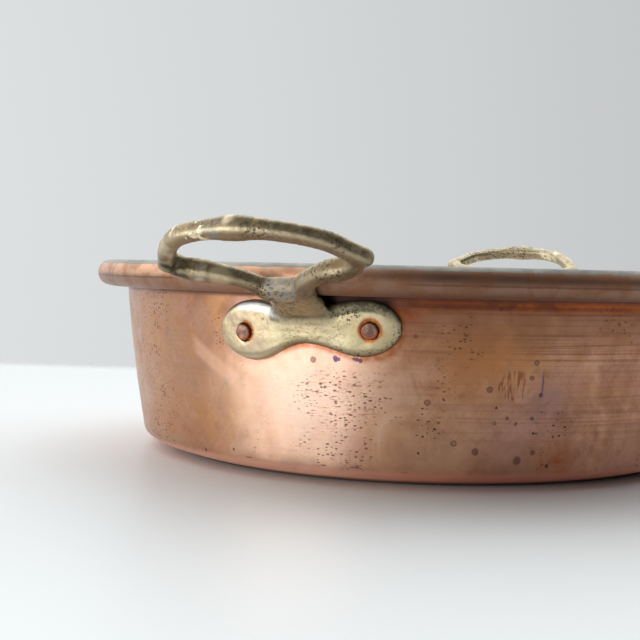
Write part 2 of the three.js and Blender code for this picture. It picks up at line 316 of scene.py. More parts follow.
class WallPlace:
    """Where a point of a look lies on the wall, seen from the nearer handle."""

    def __init__(self, look, place):
        x, y, z = look.parts(place)
        facing = -look.math("SIGN", y)
        self.look = look
        self.height = z
        self.radius = (x * x + y * y) ** 0.5
        self.along = look.math("ARCTAN2", x * facing, abs(y)) * plate_radius
        self.true_along = look.math("ARCTAN2", x, -y) * plate_radius
        self.turned = look.vector(x * facing, -abs(y), z)
        side = self.along * math.cos(plate_lean) + (z - plate_height) * math.sin(plate_lean)
        up = (z - plate_height) * math.cos(plate_lean) - self.along * math.sin(plate_lean)
        past = look.most(abs(side) - plate_rounds, 0.0)
        half = look.rise(abs(side), 0.0, lobe_from_middle) * (lobe_height - waist_height) + waist_height
        self.side = side
        self.up = up
        self.off_plate = (past * past + up * up) ** 0.5 - half

    def from_rivets(self):
        """Distance on the wall from the axis of the nearer rivet."""
        across = abs(self.side) - rivet_side
        down = self.up + rivet_drop
        return (across * across + down * down) ** 0.5

    def mark(self, side, height, radius, wobble, core=0.75, flat=1.0):
        """Mark on the front of the wall, uneven by a wobble, and full within the core's share of it."""
        across = self.true_along - side
        up = (self.height - height) * flat
        return self.look.rise((across * across + up * up) ** 0.5 + wobble, radius, core * radius)

    def near(self, spot, outer, inner, wobble=0.0):
        """Share that grows from an outer to an inner distance from a spot, seen from the nearer handle."""
        return self.look.rise(self.look.distance(self.turned, spot) + wobble, outer, inner)


# Colours of copper, from fresh to tarnished, and of painted reflection and painted shadow on it
pink_copper = (0.67, 0.36, 0.25, 1)
tan_copper = (0.57, 0.3, 0.17, 1)
ochre_copper = (0.54, 0.25, 0.105, 1)
mauve_copper = (0.39, 0.18, 0.13, 1)
brown_copper = (0.3, 0.13, 0.075, 1)
dark_tarnish_and_shade = (0.1, 0.045, 0.035, 1)
violet_tarnish = (0.12, 0.06, 0.13, 1)
rust_red = (0.2, 0.045, 0.018, 1)
rust_orange = (0.42, 0.11, 0.03, 1)
warm_rim = (0.7, 0.41, 0.26, 1)
brown_rim = (0.3, 0.165, 0.11, 1)
orange_rim = (0.3, 0.125, 0.05, 1)
grey_rim = (0.33, 0.19, 0.13, 1)
dull_tin = (0.34, 0.33, 0.295, 1)
grey_tin = (0.245, 0.235, 0.21, 1)
veil_copper = (0.68, 0.42, 0.29, 1)
left_copper = (0.35, 0.2, 0.125, 1)
bare_copper = (0.85, 0.56, 0.42, 1)
wiped_copper = (0.8, 0.48, 0.34, 1)
# Foot of the wall, painted brighter as a reflection of the lit table
lit_foot_reflection_left = (0.84, 0.5, 0.37, 1)
red_foot_reflection_right = (0.8, 0.37, 0.27, 1)
stain_brown = (0.22, 0.105, 0.09, 1)
drip_red = (0.24, 0.07, 0.035, 1)
# Black of a painted shadow between the rim and the plate
painted_shadow_black = (0.02, 0.012, 0.01, 1)

# Bounds on the shell, from where a layer begins to where it is full: heights, and a radius for the rim
foot_band = (0.0088, 0.0062)
foot_shade = (0.0034, 0.0008)
heat_and_reflection_band = (0.0655, 0.07)
high_right_band = (0.048, 0.069)
rim_shade = (0.0695, 0.0718)
rim_radii = (0.1375, 0.1395)
rim_underside = (0.0788, 0.0765)
rim_line_height = 0.0768
tin_edge = (0.0817, 0.0819)

# Round stains on the front of the wall: along it, height, radius, and how pale each is in its middle
stains = [
    (0.0024, 0.0481, 0.0015, 0.1),
    (0.0409, 0.058, 0.0011, 0.2),
    (0.0458, 0.0339, 0.0014, 0.5),
    (0.0563, 0.019, 0.0015, 0.8),
    (0.0647, 0.016, 0.0018, 0.1),
    (0.0688, 0.0392, 0.0015, 0.4),
    (0.0715, 0.0267, 0.0011, 0.8),
    (0.0763, 0.0287, 0.001, 0.1),
    (0.0798, 0.0265, 0.001, 0.7),
    (0.0815, 0.0126, 0.0021, 0.1),
    (0.0863, 0.0492, 0.0014, 0.6),
    (0.0848, 0.0436, 0.0012, 0.5),
    (0.0862, 0.0285, 0.0009, 0.3),
    (0.0877, 0.0156, 0.0012, 0.3),
]
violet_marks = [
    (0.0112, 0.0491, 0.0009),
    (0.0126, 0.0487, 0.0007),
    (0.0114, 0.0482, 0.0007),
    (0.0184, 0.0489, 0.0007),
    (0.0195, 0.0487, 0.0009),
    (0.0208, 0.0483, 0.001),
    (0.0889, 0.0372, 0.0011),
]
dark_specks = [
    (0.043, 0.0149, 0.0006),
    (0.0718, 0.0325, 0.0005),
    (0.0872, 0.0229, 0.0006),
    (-0.0541, 0.0082, 0.0009),
    (-0.0369, 0.0105, 0.0006),
    (0.0943, 0.0104, 0.0008),
    (0.0445, 0.0212, 0.0005),
]
scratch_marks = [
    (-0.0288, 0.0082, 0.0022),
    (0.0054, 0.0083, 0.0018),
    (0.0186, 0.0082, 0.003),
    (0.0378, 0.0072, 0.0022),
]

# Single marks there: red drips and specks in the light, by along, height and radius, then a violet streak
# and the middle of a slanting wipe, with the direction across it
drips_mark = (0.0781, 0.0405, 0.0065)
lit_specks_mark = (0.012, 0.0335, 0.022)
streak_along = 0.0893
wipe_along = -0.0435
wipe_height = 0.044
wipe_across = (0.487, 0.873)

# Broad patches on the front of the wall: along it, height, radius, strength and colour; three pale ones
# are painted highlight where the lamp's streak of light falls
patches = [
    (0.0674, 0.053, 0.019, 0.8, (0.5, 0.215, 0.085, 1)),
    (0.0287, 0.021, 0.012, 0.8, (0.58, 0.28, 0.12, 1)),
    (-0.0342, 0.027, 0.009, 0.5, ochre_copper),
    (-0.052, 0.02, 0.008, 0.5, ochre_copper),
    (0.0801, 0.0205, 0.016, 0.6, (0.5, 0.28, 0.22, 1)),
    (0.0945, 0.035, 0.01, 0.5, (0.27, 0.16, 0.16, 1)),
    # Pale patches that spread the streak of light to the right: painted highlight
    (0.036, 0.0145, 0.011, 0.35, (0.66, 0.4, 0.26, 1)),
    (0.033, 0.036, 0.014, 0.5, (0.74, 0.45, 0.31, 1)),
    (0.05, 0.012, 0.014, 0.5, (0.72, 0.42, 0.28, 1)),
    (0.099, 0.0117, 0.009, 0.7, rust_orange),
    # Pale patch over the streak of light itself: painted highlight
    (-0.005, 0.032, 0.034, 0.75, (0.78, 0.58, 0.46, 1)),
]


def copper_and_tin_look():
    look = Look(bpy.data.materials.new("worn_copper_and_tin"))
    place = look.place()
    wall = WallPlace(look, place)
    rise = look.rise
    over = look.over
    broad = look.mottle(place, 15.0, 3.0, 0.55, 0.6)
    cloud = look.mottle(place, 33.0, 4.0, 0.6, 0.9)
    haze = look.mottle(look.stretched(place, 1.0, 1.0, 1.4), 24.0, 2.0, 0.5, 0.5)
    fine = look.mottle(place, 160.0, 4.0, 0.65)
    columns = look.drawn(place, 60.0, 5.0, 2.0)
    turned = look.drawn(place, 12.0, 950.0, 1.5)
    blotch = look.mottle(place, 95.0, 5.0, 0.62, 0.6)
    dabs = look.mottle(look.stretched(place, 1.0, 1.0, 0.7), 70.0, 4.0, 0.6, 1.2)
    bands = look.drawn(place, 14.0, 40.0, 3.0, 0.6)
    right = rise(wall.true_along, 0.0, 0.07)
    wobble = 0.0007 * (fine - 0.5)

    # Patina of the whole wall, with the lines of turning and fine scratches
    look.colour = look.blend(rise(broad * 0.6 + columns * 0.4, 0.4, 0.6), tan_copper, pink_copper)
    over(rise(look.mottle(place, 55.0, 5.0, 0.7, 1.5), 0.5, 0.64) * 0.45, veil_copper)
    over(rise(wall.true_along, -0.015, -0.055) * 0.6, left_copper)
    over(rise(cloud * 0.5 + blotch * 0.5, 0.38, 0.68) * 0.8, ochre_copper)
    over(rise(haze * 0.5 + dabs * 0.5 + 0.05 * right, 0.46, 0.68) * 0.6, mauve_copper)
    over(rise(dabs, 0.56, 0.7) * 0.3, pink_copper)
    over(rise(fine, 0.5, 0.75) * 0.35, brown_copper)
    lined = (0.3 + 0.7 * rise(bands, 0.4, 0.62)) * (0.12 + 0.33 * right)
    lined = lined * rise(wall.height, 0.012, 0.03)
    lined = lined + 0.4 * rise(wall.height, 0.042, 0.054) * rise(wall.true_along, 0.022, 0.034)
    over(rise(turned, 0.44, 0.66) * lined, brown_copper)
    hair = look.scratches(place, 24) + look.scratches(place, -38)
    over(hair * 0.11, bare_copper)

    # Broad patches, three of them painted highlight, and a wipe that slants
    ragged = 0.02 * (cloud - 0.5) + 0.03 * (dabs - 0.5)
    for side, height, radius, strength, patch in patches:
        over(wall.mark(side, height, 1.5 * radius, ragged, 0.0) * (1.1 * strength), patch)
    slant = (wall.height - wipe_height) * wipe_across[1] + (wall.true_along - wipe_along) * wipe_across[0]
    wiped = rise(abs(slant + wobble * 2.0), 0.0042, 0.0015)
    wiped = wiped * rise(abs(wall.true_along - wipe_along), 0.0145, 0.009)
    over(wiped * 0.5, wiped_copper)

    # Specks, spots, stains and scratches
    specks = look.spots(look.stretched(place, 1.0, 1.0, 1.9), 540.0, 0.95, 0.44 + 0.5 * (fine - 0.5), 0.12)
    in_light = wall.mark(*lit_specks_mark, wobble * 8.0, 0.6, 1.6)
    dashes = rise(look.drawn(place, 420.0, 1500.0, 2.0, 0.6), 0.56, 0.66)
    over(dashes * (0.1 + 0.5 * in_light), brown_copper)
    peppered = rise(look.mottle(place, 30.0, 3.0), 0.52, 0.62)
    peppered = look.most(peppered, in_light * rise(blotch, 0.32, 0.44))
    over(specks * peppered * 0.7, dark_tarnish_and_shade)
    round_spots = look.spots(place, 105.0, 0.2, 0.2, 0.05)
    pale_middles = look.spots(place, 105.0, 0.2, 0.13, 0.08)
    behind = rise(wall.true_along, 0.09, 0.12) + rise(wall.true_along, -0.06, -0.09)
    over(round_spots * (0.7 - 0.4 * pale_middles) * behind, mauve_copper)
    stained = 0.0
    for side, height, radius, pale in stains:
        whole = wall.mark(side, height, radius, wobble * 2.0, 0.6)
        middle = wall.mark(side, height, 0.62 * radius, wobble * 2.0, 0.5)
        over(whole * (0.68 - 0.6 * pale * middle), stain_brown)
        stained = look.most(stained, whole)
    for side, height, radius in dark_specks:
        over(wall.mark(side, height, radius, wobble * 0.5) * 0.85, dark_tarnish_and_shade)
    for side, height, radius in scratch_marks:
        over(wall.mark(side, height, radius, wobble * 3.0, 0.5, 8.0) * 0.8, dark_tarnish_and_shade)
    streak = rise(abs(wall.true_along - streak_along), 0.0006, 0.0001)
    streak = streak * rise(wall.height, 0.0365, 0.0375) * rise(wall.height, 0.0485, 0.043)
    over(streak * 0.7, violet_tarnish)
    drips = rise(look.drawn(place, 800.0, 90.0, 2.0), 0.48, 0.62)
    over(drips * wall.mark(*drips_mark, wobble * 6.0) * 0.75, drip_red)

    # Rust and bruises round the plate, painted shadow above it, a darker band high on the right, and heat
    # colour under the rim that is partly painted reflection and painted shade
    off_plate = wall.off_plate + wobble
    rusted = rise(off_plate, 0.0024, 0.0004) * rise(wall.side, -0.03, 0.0)
    over(rusted * rise(fine, 0.3, 0.55) * 0.8, rust_orange)
    bruised = rise(off_plate, 0.004, 0.0008) * rise(wall.side, -0.012, -0.03)
    over(bruised * 0.22, violet_tarnish)
    for side, height, radius in violet_marks:
        over(wall.mark(side, height, radius, wobble * 2.5) * 0.85, violet_tarnish)
    # Darker high on the right of the wall
    darker_high_right = rise(wall.height, *high_right_band) * rise(wall.true_along, 0.0, 0.04)
    over(darker_high_right * 0.8, brown_copper)
    # Heat colour under the rim, partly a painted reflection of the rim's underside, and painted shade
    # beside the right lobe
    heat_and_reflected_rim = rise(wall.height + 0.006 * (cloud - 0.5) + 0.003 * (turned - 0.5), *heat_and_reflection_band)
    by_lobe = rise(wall.off_plate, 0.012, 0.002) * rise(wall.side, 0.02, 0.035)
    by_lobe = by_lobe * rise(wall.up, -0.002, 0.006)
    burnt_and_shaded = look.most(heat_and_reflected_rim * rise(columns * 0.5 + 0.5 * right, 0.2, 0.55), by_lobe * 0.85)
    burn_and_shade_colour = look.blend(rise(broad * 0.5 + blotch * 0.5, 0.42, 0.58), rust_red, rust_orange)
    burn_and_shade_colour = look.blend(rise(turned, 0.45, 0.62) * 0.6, burn_and_shade_colour, dark_tarnish_and_shade)
    over(burnt_and_shaded, burn_and_shade_colour)
    # Painted shadow: black on the wall between the rim and the plate, most over the right lobe
    painted_shadow_by_plate = rise(off_plate, 0.0062, 0.0035) * rise(wall.up, 0.004, 0.0075)
    painted_shadow_by_plate = painted_shadow_by_plate * (0.3 + 0.7 * rise(wall.side, -0.004, 0.003)) * rise(wall.side, 0.036, 0.03)
    over(painted_shadow_by_plate, painted_shadow_black)
    # Painted shade on the wall just under the rim
    over(rise(wall.height, *rim_shade) * 0.85, dark_tarnish_and_shade)

    # Reddish foot band painted brighter as a reflection of the lit table, palest on the left, painted
    # shade on the underside, and the rolled rim
    # Reddish band round the foot, painted brighter as a reflection of the lit table, palest on the left
    low = rise(wall.height + wobble * 2.0, *foot_band)
    over(low * 0.75, look.blend(right, lit_foot_reflection_left, red_foot_reflection_right))
    # Painted shade on the underside
    over(rise(wall.height, *foot_shade) * 0.9, dark_tarnish_and_shade)
    on_rim = rise(wall.radius, *rim_radii)
    rim_colour = look.blend(rise(bands * 0.5 + right * 0.6, 0.2, 0.7), warm_rim, brown_rim)
    rim_colour = look.blend(rise(wall.height + wobble * 2.0, *rim_underside), rim_colour, grey_rim)
    rim_colour = look.blend(rise(blotch, 0.42, 0.62) * 0.5, rim_colour, orange_rim)
    rim_colour = look.blend(rise(dabs, 0.6, 0.7) * 0.6, rim_colour, mauve_copper)
    rim_line = rise(abs(wall.height + wobble - rim_line_height), 0.0006, 0.0001)
    rim_colour = look.blend(rim_line * rise(haze, 0.4, 0.5) * 0.5, rim_colour, dark_tarnish_and_shade)
    over(on_rim * 0.9, rim_colour)

    # Tin on the inside and over the top of the rim
    tin = look.blend(rise(look.drawn(place, 30.0, 260.0, 4.0, 0.6), 0.35, 0.7), dull_tin, grey_tin)
    edge = wall.height + 0.0011 * (look.mottle(place, 160.0, 2.0) - 0.5)
    tinned = look.most(look.painted("inner_face"), rise(edge, *tin_edge))
    over(tinned, tin)

    smeared = look.mottle(place, 45.0, 4.0, 0.65, 0.8)
    rough = 0.24 + 0.18 * smeared + 0.06 * turned + 0.15 * specks * peppered
    rough = rough + 0.1 * tinned + 0.1 * on_rim + 0.15 * low
    rough = rough + 0.08 * rise(blotch, 0.4, 0.6) + 0.15 * stained
    dents = 0.00035 * look.mottle(place, 22.0, 1.0) + 0.00004 * look.mottle(place, 160.0, 2.0)
    height = dents + 0.00002 * turned - 0.00004 * specks * peppered + 0.000004 * hair
    inputs = {"Roughness": rough, "Normal": look.relief(height), "Metallic": 1.0}
    return look.finish({**inputs, "Anisotropic": 0.6, "Anisotropic Rotation": 0.25})


# Colours of the cast brass, and of light painted on it
pale_brass = (0.56, 0.485, 0.33, 1)
yellow_brass = (0.46, 0.37, 0.2, 1)
olive_brass = (0.25, 0.18, 0.095, 1)
brown_brass = (0.2, 0.135, 0.07, 1)
dark_olive = (0.11, 0.095, 0.05, 1)
cream_tone_and_glare = (0.8, 0.68, 0.5, 1)
blue_grey = (0.26, 0.255, 0.25, 1)
black_grime = (0.035, 0.03, 0.02, 1)
bright_rust = (0.55, 0.17, 0.035, 1)
tan_brass = (0.38, 0.265, 0.165, 1)
left_lobe_brass = (0.34, 0.255, 0.175, 1)
under_brass = (0.3, 0.19, 0.11, 1)
left_brass = (0.2, 0.15, 0.09, 1)
painted_light_neck_brass = (0.62, 0.5, 0.32, 1)
# Colours of painted light: a bright edge, glints, and a grey highlight
painted_light_edge_brass = (0.85, 0.74, 0.52, 1)
glint_brass = (0.95, 0.85, 0.6, 1)
painted_highlight_grey = (0.56, 0.565, 0.55, 1)
straw_brass = (0.7, 0.58, 0.38, 1)
painted_glare_grey = (0.66, 0.63, 0.56, 1)
slate_grey = (0.15, 0.15, 0.165, 1)
speck_grey = (0.12, 0.115, 0.09, 1)
brown_grime = (0.17, 0.135, 0.075, 1)
elbow_grime = (0.07, 0.06, 0.035, 1)

# Marks on the loop, seen from the nearer handle: place, radius and colour; the cream one and the pale grey
# one are painted glare
loop_marks = [
    ((-0.0064, -0.194, 0.0965), 0.003, slate_grey),
    ((0.0042, -0.194, 0.0975), 0.0024, slate_grey),
    # Painted glare: a cream patch on the top of the loop and a pale grey one by the left elbow
    ((-0.0018, -0.195, 0.096), 0.0032, cream_tone_and_glare),
    ((-0.0255, -0.169, 0.0795), 0.0042, painted_glare_grey),
    ((-0.019, -0.168, 0.0785), 0.0055, straw_brass),
]

# Places on the casting, seen from the nearer handle, the first for painted glints, and the radii between
# which the plate ends
glints_spot = (-0.0175, -0.192, 0.0935)
root_spot = (0.0, -0.158, 0.075)
neck_spot = (0.001, -0.1445, 0.0675)
plate_radii = (0.1425, 0.1395)

# Places on its plate, from the middle of it: a row of grey specks, and a cluster of pits
specks_side = -0.0125
pits_side = 0.0165
pits_up = 0.0055


def cast_brass_look():
    look = Look(bpy.data.materials.new("worn_cast_brass"))
    place = look.place()
    wall = WallPlace(look, place)
    rise = look.rise
    over = look.over
    broad = look.mottle(place, 75.0, 4.0, 0.62, 0.5)
    cloud = look.mottle(place, 42.0, 2.0, 0.5, 0.4)
    fine = look.mottle(place, 420.0, 4.0, 0.65)
    mixed = broad * 0.6 + fine * 0.4
    evenly_mixed = fine * 0.5 + broad * 0.5
    streaks = look.mottle(look.stretched(place, 900.0, 130.0, 130.0), 1.0, 2.0, 0.6)
    on_plate = rise(wall.radius, *plate_radii)
    on_loop = 1 - on_plate
    front = rise(look.parts(place)[1], 0.0, -0.05)
    hollow = look.painted("hollow")
    facing_up = look.painted("upper_face")

    # Brass of the whole casting, darker and grainier on the loop
    look.colour = look.blend(rise(mixed, 0.36, 0.62), yellow_brass, pale_brass)
    dulled = rise(broad * 0.45 + fine * 0.35 + on_loop * 0.2, 0.4, 0.66)
    over(dulled * (0.3 + 0.6 * on_loop), olive_brass)
    over(on_loop * 0.4, tan_brass)
    grainy = rise(fine * 0.75 + broad * 0.25, 0.5, 0.57)
    over(grainy * (0.12 + 0.45 * on_loop), dark_olive)
    grit = rise(look.mottle(place, 800.0, 2.0, 0.5), 0.5, 0.6)
    over(grit * (0.1 + 0.4 * on_loop), dark_olive)

    # Darker left lobe of the plate
    worn = rise(wall.side, -0.01, -0.018) * (0.3 + 0.7 * rise(mixed, 0.42, 0.54))
    over(worn * on_plate * 0.8, left_lobe_brass)
    grey_specks = rise(fine, 0.5, 0.56) * rise(abs(wall.side - specks_side), 0.0055, 0.003)
    over(grey_specks * rise(wall.up, 0.0, 0.005) * on_plate * 0.7, speck_grey)

    # Loop: grime where it looks up, brown below, the far loop painted paler as painted light, its own
    # marks, and painted glints
    looks_up = facing_up + 0.5 * (broad - 0.5) + 0.5 * (fine - 0.5)
    on_top = rise(looks_up, 0.58, 0.9) * on_loop * (0.35 + 0.65 * front)
    grimy = rise(broad * 0.6 + cloud * 0.4 + 2.5 * wall.along, 0.4, 0.55)
    over(on_top * (0.35 + 0.5 * grimy), brown_grime)
    over(rise(streaks, 0.46, 0.6) * on_top * 0.75, dark_olive)
    over(rise(facing_up, 0.42, 0.25) * on_loop * 0.6, under_brass)
    # Painted light: the loop of the far handle is painted paler
    over((1 - front) * on_loop * 0.5, pale_brass)
    over(rise(wall.along, -0.018, -0.028) * on_loop * front * 0.6, left_brass)
    over(rise(cloud, 0.62, 0.72) * on_loop * 0.7, blue_grey)
    over(rise(cloud, 0.36, 0.27) * on_loop * 0.6, cream_tone_and_glare)
    for spot, radius, mark_colour in loop_marks:
        over(wall.near(spot, radius, 0.5 * radius, 0.003 * (broad - 0.5)) * 0.8, mark_colour)
    # Painted glints: bright specks on the top of the loop
    painted_glints = rise(fine * 0.6 + broad * 0.4, 0.53, 0.58)
    over(painted_glints * wall.near(glints_spot, 0.0105, 0.006), glint_brass)

    # Root, right arm and left elbow of the loop, grime in every hollow, and painted light on the neck
    root = wall.near(root_spot, 0.0075, 0.0055, 0.002 * (fine - 0.5))
    over(root * rise(fine, 0.35, 0.6) * 0.8, blue_grey)
    right_arm = rise(wall.along, 0.011, 0.016) * rise(wall.height, 0.0865, 0.084) * on_loop
    over(right_arm * rise(evenly_mixed, 0.36, 0.5) * 0.85, brown_brass)
    elbow = rise(wall.along, -0.0215, -0.025) * rise(wall.height, 0.0835, 0.081) * on_loop
    over(elbow * rise(evenly_mixed, 0.34, 0.48) * 0.95, elbow_grime)
    # Painted light on the neck: paler there, with less darkening in its hollows
    neck = wall.near(neck_spot, 0.0145, 0.009, 0.002 * (fine - 0.5))
    over(rise(hollow, 0.54, 0.75) * (0.75 - 0.55 * neck), brown_brass)
    over(neck * (0.8 - 0.3 * rise(fine, 0.5, 0.65)), painted_light_neck_brass)
    over(rise(hollow, 0.44, 0.2) * 0.45, pale_brass)

    # Edges of the plate: brown above and on the right, painted light on the lower left, and a grey painted
    # highlight on the upper left
    edge = rise(wall.off_plate + 0.0012 * (fine - 0.5), -0.0019, -0.0004) * on_plate
    upper = rise(wall.up, 0.002, 0.006)
    right = rise(wall.side, -0.013, -0.004)
    over(edge * (0.5 * (1 - upper) + upper) * right, brown_brass)
    # Painted light along the lower left edge
    over(edge * (1 - right) * (1 - upper) * 0.6, painted_light_edge_brass)
    shoulder = rise(wall.off_plate + 0.0025 * (broad - 0.5), -0.0054, -0.004)
    shoulder = shoulder * upper * right * on_plate
    over(shoulder * (0.7 + 0.3 * rise(fine, 0.4, 0.55)), dark_olive)
    # Painted highlight: grey on the upper left shoulder of the plate
    painted_highlight_upper_left = rise(wall.off_plate + 0.0016 * (fine - 0.5), -0.0042, -0.003)
    painted_highlight_upper_left = painted_highlight_upper_left * upper * (1 - right) * on_plate * rise(wall.side, -0.0285, -0.0255)
    over(painted_highlight_upper_left * 0.85, painted_highlight_grey)

    # Pits, and rust round the rivets
    pits = look.spots(place, 1150.0, 0.9, 0.68, 0.16)
    clusters = rise(look.mottle(place, 55.0, 2.0), 0.48, 0.62)
    across = wall.side - pits_side
    cluster = rise((across * across * 0.3 + (wall.up - pits_up) ** 2) ** 0.5, 0.0042, 0.002)
    lower = rise(wall.off_plate, -0.0045, -0.001) * rise(wall.side, 0.006, 0.012) * (1 - upper)
    pitted = look.most(clusters * (0.35 + 0.6 * on_loop), look.most(cluster, lower * 0.8) * on_plate)
    over(pits * pitted * 0.85, black_grime)
    rust = rise(wall.from_rivets() + 0.0022 * (fine - 0.5), 0.005, 0.0039)
    rust = rust * rise(wall.side, -0.0262, -0.0236) * on_plate
    over(rust * 0.9, look.blend(rise(fine, 0.4, 0.6), bright_rust, rust_red))

    oxide = look.most(rise(hollow, 0.52, 0.62) * (1 - 0.7 * neck), look.most(root, shoulder))
    rough = 0.32 + 0.16 * fine + 0.1 * dulled + 0.2 * rust + 0.1 * painted_highlight_upper_left + 0.15 * oxide
    height = 0.00016 * look.mottle(place, 260.0, 3.0) + (0.00007 + 0.0002 * on_loop) * fine
    height = height - 0.00009 * pits * pitted
    return look.finish({"Roughness": rough, "Metallic": 1 - 0.6 * oxide, "Normal": look.relief(height)})


# Colours of the iron rivets and wire
brown_iron = (0.33, 0.185, 0.135, 1)
dark_iron = (0.16, 0.09, 0.07, 1)


def rusty_iron_look():
    look = Look(bpy.data.materials.new("rusty_iron"))
    place = look.place()
    wall = WallPlace(look, place)
    broad = look.mottle(place, 500.0, 4.0, 0.6)
    look.colour = look.blend(look.rise(broad, 0.36, 0.62), brown_iron, dark_iron)
    edge = look.rise(wall.from_rivets() + 0.0006 * (broad - 0.5), 0.0021, 0.0028)
    look.over(edge * 0.7, rust_orange)
    rough = 0.42 + 0.25 * broad + 0.1 * edge
    return look.finish({"Roughness": rough, "Normal": look.relief(0.00008 * broad), "Metallic": 0.75})


# Pale table, and where it runs out into the pale room behind the pan
table_white = (0.86, 0.875, 0.875, 1)
table_cool = (0.83, 0.85, 0.855, 1)
table_rough = 0.34
table_rough_spread = 0.06
table_shine = 0.06
table_runs_out = 0.33
table_gone = 0.39
table_radius = 4.0
table_border = 1.2

# Pale wall of the room as the camera sees it: its level, and what it gains to the left and behind the pan
room_colour = (0.965, 0.99, 1.0, 1)
wall_level = 0.38
wall_left_gain = 0.34
wall_back_gain = 0.27

# Light that the room throws on the pan: its level and gains, and the least that comes from any side
light_level = 0.1
light_left_gain = 0.28
light_back_gain = 0.14
light_least = 0.025

# Two broad glows high behind the pan, on its left and right: degrees to the right of the camera and above
# level, strength, and how fast both fade off
glows = [(-118, 40, 1.55), (158, 46, 2.3)]
glow_fading = 4

# Lamp on the left, for the streak of light on the wall of the pan: degrees, metres and watts
window_azimuth = -46
window_elevation = 7
window_distance = 1.5
window_width = 1.3
window_height = 0.32
window_power = 12
window_colour = (1.0, 0.99, 0.98)


def towards(azimuth, elevation):
    """Direction from the pan, in degrees to the right of the camera and above level."""
    around = math.radians(azimuth) + camera_turn
    above = math.radians(elevation)
    level = math.cos(above)
    return Vector((math.sin(around) * level, -math.cos(around) * level, math.sin(above)))


def slope_of(left_gain, back_gain):
    """Direction along which a light gains, as much as it gains to the left and behind the pan."""
    return towards(-90, 0) * left_gain + towards(180, 0) * back_gain


def table_look():
    """Satin table, out of sight of the camera past its far side, so that the pale room shows there."""
    look = Look(bpy.data.materials.new("pale_table"))
    place = look.place()
    faint = look.mottle(place, 5.0, 2.0)
    look.colour = look.blend(faint, table_cool, table_white)
    far = look.rise(look.dot(place, towards(180, 0)), table_runs_out, table_gone)
    rough = table_rough + table_rough_spread * faint
    alpha = 1 - far * look.by_camera()
    return look.finish({"Roughness": rough, "Alpha": alpha, "Specular IOR Level": table_shine})


def add_object(name, data):
    added = bpy.data.objects.new(name, data)
    bpy.context.scene.collection.objects.link(added)
    return added


def set_camera():
    data = bpy.data.cameras.new("camera")
    data.sensor_width = sensor_width
    data.lens = focal_pixels * sensor_width / image_pixels
    data.clip_start = 0.01
    data.clip_end = 50.0
    camera = add_object("camera", data)
    level = math.cos(camera_pitch)
    ahead = Vector((math.sin(camera_yaw) * level, math.cos(camera_yaw) * level, -math.sin(camera_pitch)))
    right = Vector((math.cos(camera_yaw), -math.sin(camera_yaw), 0.0))
    up = right.cross(ahead)
    rolled_right = right * math.cos(camera_roll) + up * math.sin(camera_roll)
    rolled_up = up * math.cos(camera_roll) - right * math.sin(camera_roll)
    axes = Matrix((rolled_right, rolled_up, -ahead)).transposed()
    stand = Matrix.Translation((0.0, -camera_distance, camera_height)) @ axes.to_4x4()
    camera.matrix_world = Matrix.Rotation(camera_turn, 4, "Z") @ stand
    bpy.context.scene.camera = camera


def add_window():
    """A rectangular lamp that faces the pan."""
    data = bpy.data.lights.new("window", "AREA")
    data.shape = "RECTANGLE"
    data.size = window_width
    data.size_y = window_height
    data.energy = window_power
    data.color = window_colour
    lamp = add_object("window", data)
    back = towards(window_azimuth, window_elevation)
    lamp.location = back * window_distance
    lamp.rotation_euler = (-back).to_track_quat("-Z", "Y").to_euler()


def set_room():
    """World: the pale wall for the camera, and for the rest a light that leaves the pan's front dimmer."""
    world = bpy.data.worlds.new("soft_room")
    bpy.context.scene.world = world
    room = Look(world)
    direction = room.node("ShaderNodeTexCoord", {}, {}, "Generated")
    seen = room.dot(direction, slope_of(wall_left_gain, wall_back_gain)) + wall_level
    around = room.dot(direction, slope_of(light_left_gain, light_back_gain)) + light_level
    thrown = room.most(around, light_least)
    for azimuth, elevation, strength in glows:
        facing = room.most(room.dot(direction, towards(azimuth, elevation)), 0.0)
        thrown = thrown + strength * facing ** glow_fading
    for_camera = room.by_camera()
    level = for_camera * seen + (1 - for_camera) * thrown
    light = room.node("ShaderNodeVectorMath", {"operation": "SCALE"}, {0: room_colour[:3], "Scale": level})
    shade = room.node("ShaderNodeBackground", {}, {"Color": light}, "Background")
    room.node("ShaderNodeOutputWorld", {}, {"Surface": shade})


def add_table():
    bpy.ops.object.select_all(action="DESELECT")
    bpy.ops.mesh.primitive_circle_add(
        vertices=96, radius=table_radius, fill_type="NGON", location=(0, 0, 0)
    )
    table = bpy.context.object
    table.name = "table"
    bpy.ops.object.mode_set(mode="EDIT")
    bpy.ops.mesh.select_all(action="SELECT")
    bpy.ops.mesh.inset(thickness=table_border)
    bpy.ops.object.mode_set(mode="OBJECT")
    table.data.materials.append(table_look())


def turned_piece(name, outline, steps):
    """Outline in radius and height, drawn by extruding one vertex, then spun round the upright axis."""
    bpy.ops.object.select_all(action="DESELECT")
    bpy.ops.mesh.primitive_plane_add(size=0.001, location=(0, 0, 0))
    piece = bpy.context.object
    piece.name = name
    bpy.ops.object.mode_set(mode="EDIT")
    bpy.ops.mesh.merge(type="CENTER")
    spots = [Vector((radius, 0, height)) for radius, height in outline]
    bpy.ops.transform.translate(value=spots[0])
    for before, spot in zip(spots, spots[1:]):
        bpy.ops.mesh.extrude_region_move(TRANSFORM_OT_translate={"value": spot - before})
    bpy.ops.mesh.select_all(action="SELECT")
    bpy.ops.mesh.spin(steps=steps, angle=2 * math.pi, center=(0, 0, 0), axis=(0, 0, 1))
    bpy.ops.mesh.select_all(action="SELECT")
    bpy.ops.mesh.remove_doubles(threshold=2e-6)
    bpy.ops.mesh.normals_make_consistent(inside=False)
    bpy.ops.object.mode_set(mode="OBJECT")
    bpy.ops.object.shade_smooth()
    return piece


